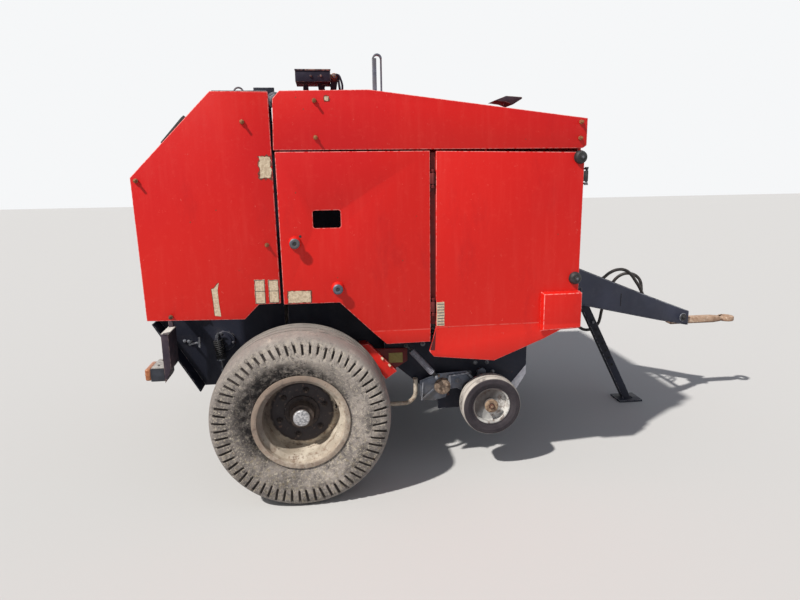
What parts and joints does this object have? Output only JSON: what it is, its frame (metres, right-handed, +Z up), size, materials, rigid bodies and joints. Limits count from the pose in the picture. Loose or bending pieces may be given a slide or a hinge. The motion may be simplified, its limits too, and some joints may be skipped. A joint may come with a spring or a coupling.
{
  "type": "round baler",
  "caption": "Towed fixed-chamber round baler with a lifting tailgate, swinging side covers, tined pick-up on gauge wheels, V drawbar with tow eye and a swing-down jack.",
  "frame": {"origin": "on the ground, on the centreline, halfway between the tips of the rear lamps and the tip of the tow eye", "axes": "+X forwards to the tow eye, +Y to the left side of the machine, +Z up"},
  "size_m": [3.577, 2.15, 2.135],
  "materials": {
    "frame_paint": "satin",
    "red_paint": "satin",
    "galvanised": "matt",
    "bare_steel": "matt",
    "rusty_steel": "matt",
    "maroon_paint": "matt",
    "rim_paint": "matt",
    "tyre": "matt",
    "lamp": "gloss",
    "hose": "matt"
  },
  "bodies": {
    "root": {"main_frame": "frame_paint", "frame_beams": "frame_paint", "axle": "frame_paint", "cover_frame": "frame_paint", "rollers_top": "bare_steel", "rollers_front": "bare_steel", "rollers_inlet": "bare_steel", "roof": "red_paint", "upper_panels": "red_paint", "front_shield": "red_paint", "drawbar": "frame_paint", "tow_eye": "rusty_steel", "gearbox": "frame_paint", "drive_shaft": "frame_paint", "jack_bar": "frame_paint", "lower_braces": "red_paint", "roof_box": "maroon_paint", "roof_guide": "galvanised", "roof_catch": "maroon_paint", "hose_lift": "hose", "hose_pickup": "hose", "hose_fittings": "galvanised", "chain_drive": "rusty_steel"},
    "tailgate": {"tail_walls": "frame_paint", "tail_panels": "red_paint", "tail_rollers_upper": "bare_steel", "tail_rollers_lower": "bare_steel", "tail_frame": "frame_paint", "lamp_brackets": "maroon_paint", "tail_lamps": "lamp"},
    "mid_door_right": {"door_mid_right": "red_paint"},
    "mid_door_left": {"door_mid_left": "red_paint"},
    "front_door_right": {"door_front_right": "red_paint"},
    "front_door_left": {"door_front_left": "red_paint"},
    "pickup": {"pickup_plates": "frame_paint", "pickup_frame": "frame_paint", "pickup_bands": "galvanised", "crop_guard": "frame_paint", "gauge_arms": "galvanised", "pickup_springs": "galvanised", "side_pipes": "rim_paint"},
    "reel": {"pickup_reel": "galvanised"},
    "gauge_wheel_right": {"gauge_tyre_right": "tyre", "gauge_rim_right": "rim_paint"},
    "gauge_wheel_left": {"gauge_tyre_left": "tyre", "gauge_rim_left": "rim_paint"},
    "road_wheel_right": {"tyre_right": "tyre", "rim_right": "rim_paint", "hub_right": "frame_paint"},
    "road_wheel_left": {"tyre_left": "tyre", "rim_left": "rim_paint", "hub_left": "frame_paint"},
    "jack": {"jack_leg": "frame_paint"}
  },
  "joints": [
    {"name": "tailgate_lift", "type": "hinge", "parent": "root", "child": "tailgate", "pos_m": [-1.1345, 0, 1.869], "axis": [0, 1, 0], "range_deg": [0, 70]},
    {"name": "pickup_lift", "type": "hinge", "parent": "root", "child": "pickup", "pos_m": [-0.6115, 0, 0.64], "axis": [0, 1, 0], "range_deg": [-6, 26]},
    {"name": "reel_spin", "type": "hinge", "parent": "pickup", "child": "reel", "pos_m": [-0.1365, 0, 0.49], "axis": [0, 1, 0], "continuous": true},
    {"name": "jack_swing", "type": "hinge", "parent": "root", "child": "jack", "pos_m": [0.7105, 0, 0.7], "axis": [0, 1, 0], "range_deg": [-37, 0]},
    {"name": "road_wheel_right_spin", "type": "hinge", "parent": "root", "child": "road_wheel_right", "pos_m": [-1.0665, -0.93, 0.418], "axis": [0, 1, 0], "continuous": true},
    {"name": "gauge_wheel_right_spin", "type": "hinge", "parent": "pickup", "child": "gauge_wheel_right", "pos_m": [-0.1205, -0.822, 0.363], "axis": [0, 1, 0], "continuous": true},
    {"name": "mid_door_right_swing", "type": "hinge", "parent": "root", "child": "mid_door_right", "pos_m": [-0.4255, -0.897, 1.2], "axis": [0, 0, 1], "range_deg": [0, 90]},
    {"name": "front_door_right_swing", "type": "hinge", "parent": "root", "child": "front_door_right", "pos_m": [0.3065, -0.897, 1.2], "axis": [0, 0, 1], "range_deg": [0, 90]},
    {"name": "road_wheel_left_spin", "type": "hinge", "parent": "root", "child": "road_wheel_left", "pos_m": [-1.0665, 0.93, 0.418], "axis": [0, 1, 0], "continuous": true},
    {"name": "gauge_wheel_left_spin", "type": "hinge", "parent": "pickup", "child": "gauge_wheel_left", "pos_m": [-0.1205, 0.822, 0.363], "axis": [0, 1, 0], "continuous": true},
    {"name": "mid_door_left_swing", "type": "hinge", "parent": "root", "child": "mid_door_left", "pos_m": [-0.4255, 0.897, 1.2], "axis": [0, 0, -1], "range_deg": [0, 90]},
    {"name": "front_door_left_swing", "type": "hinge", "parent": "root", "child": "front_door_left", "pos_m": [0.3065, 0.897, 1.2], "axis": [0, 0, -1], "range_deg": [0, 90]}
  ]
}
